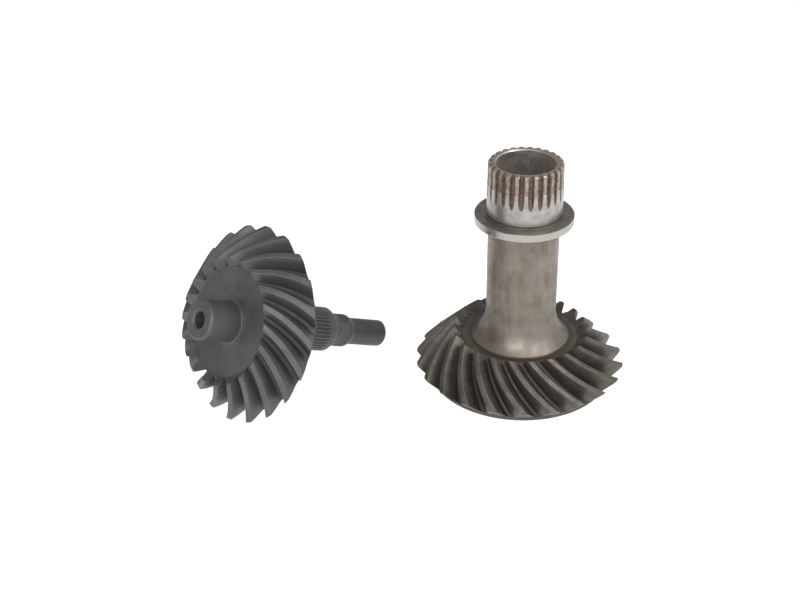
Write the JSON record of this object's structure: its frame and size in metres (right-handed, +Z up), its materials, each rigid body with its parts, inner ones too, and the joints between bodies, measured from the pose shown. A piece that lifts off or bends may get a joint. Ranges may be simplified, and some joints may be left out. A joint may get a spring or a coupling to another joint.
{
  "type": "ring and pinion gear set",
  "caption": "Matched spiral bevel ring gear on a hollow splined shaft and its pinion on a solid splined shaft, laid out side by side as a loose set.",
  "frame": {"origin": "on the ring gear's axis, in the plane of its flat back face, which stands on the table", "axes": "+Z up along the ring gear's axis towards its splined end, +X towards the right of the picture, +Y away from its camera; the pinion lies on the -X side"},
  "size_m": [0.2436, 0.1258, 0.1293],
  "materials": {
    "bare_steel": "turned and ground bare steel, stained brown, light rust in the spline gaps",
    "phosphated_steel": "hardened steel with a dark grey phosphate coat, matt"
  },
  "bodies": {
    "root": {"ring_gear_shaft": "bare_steel", "pinion_shaft": "phosphated_steel"}
  },
  "joints": []
}
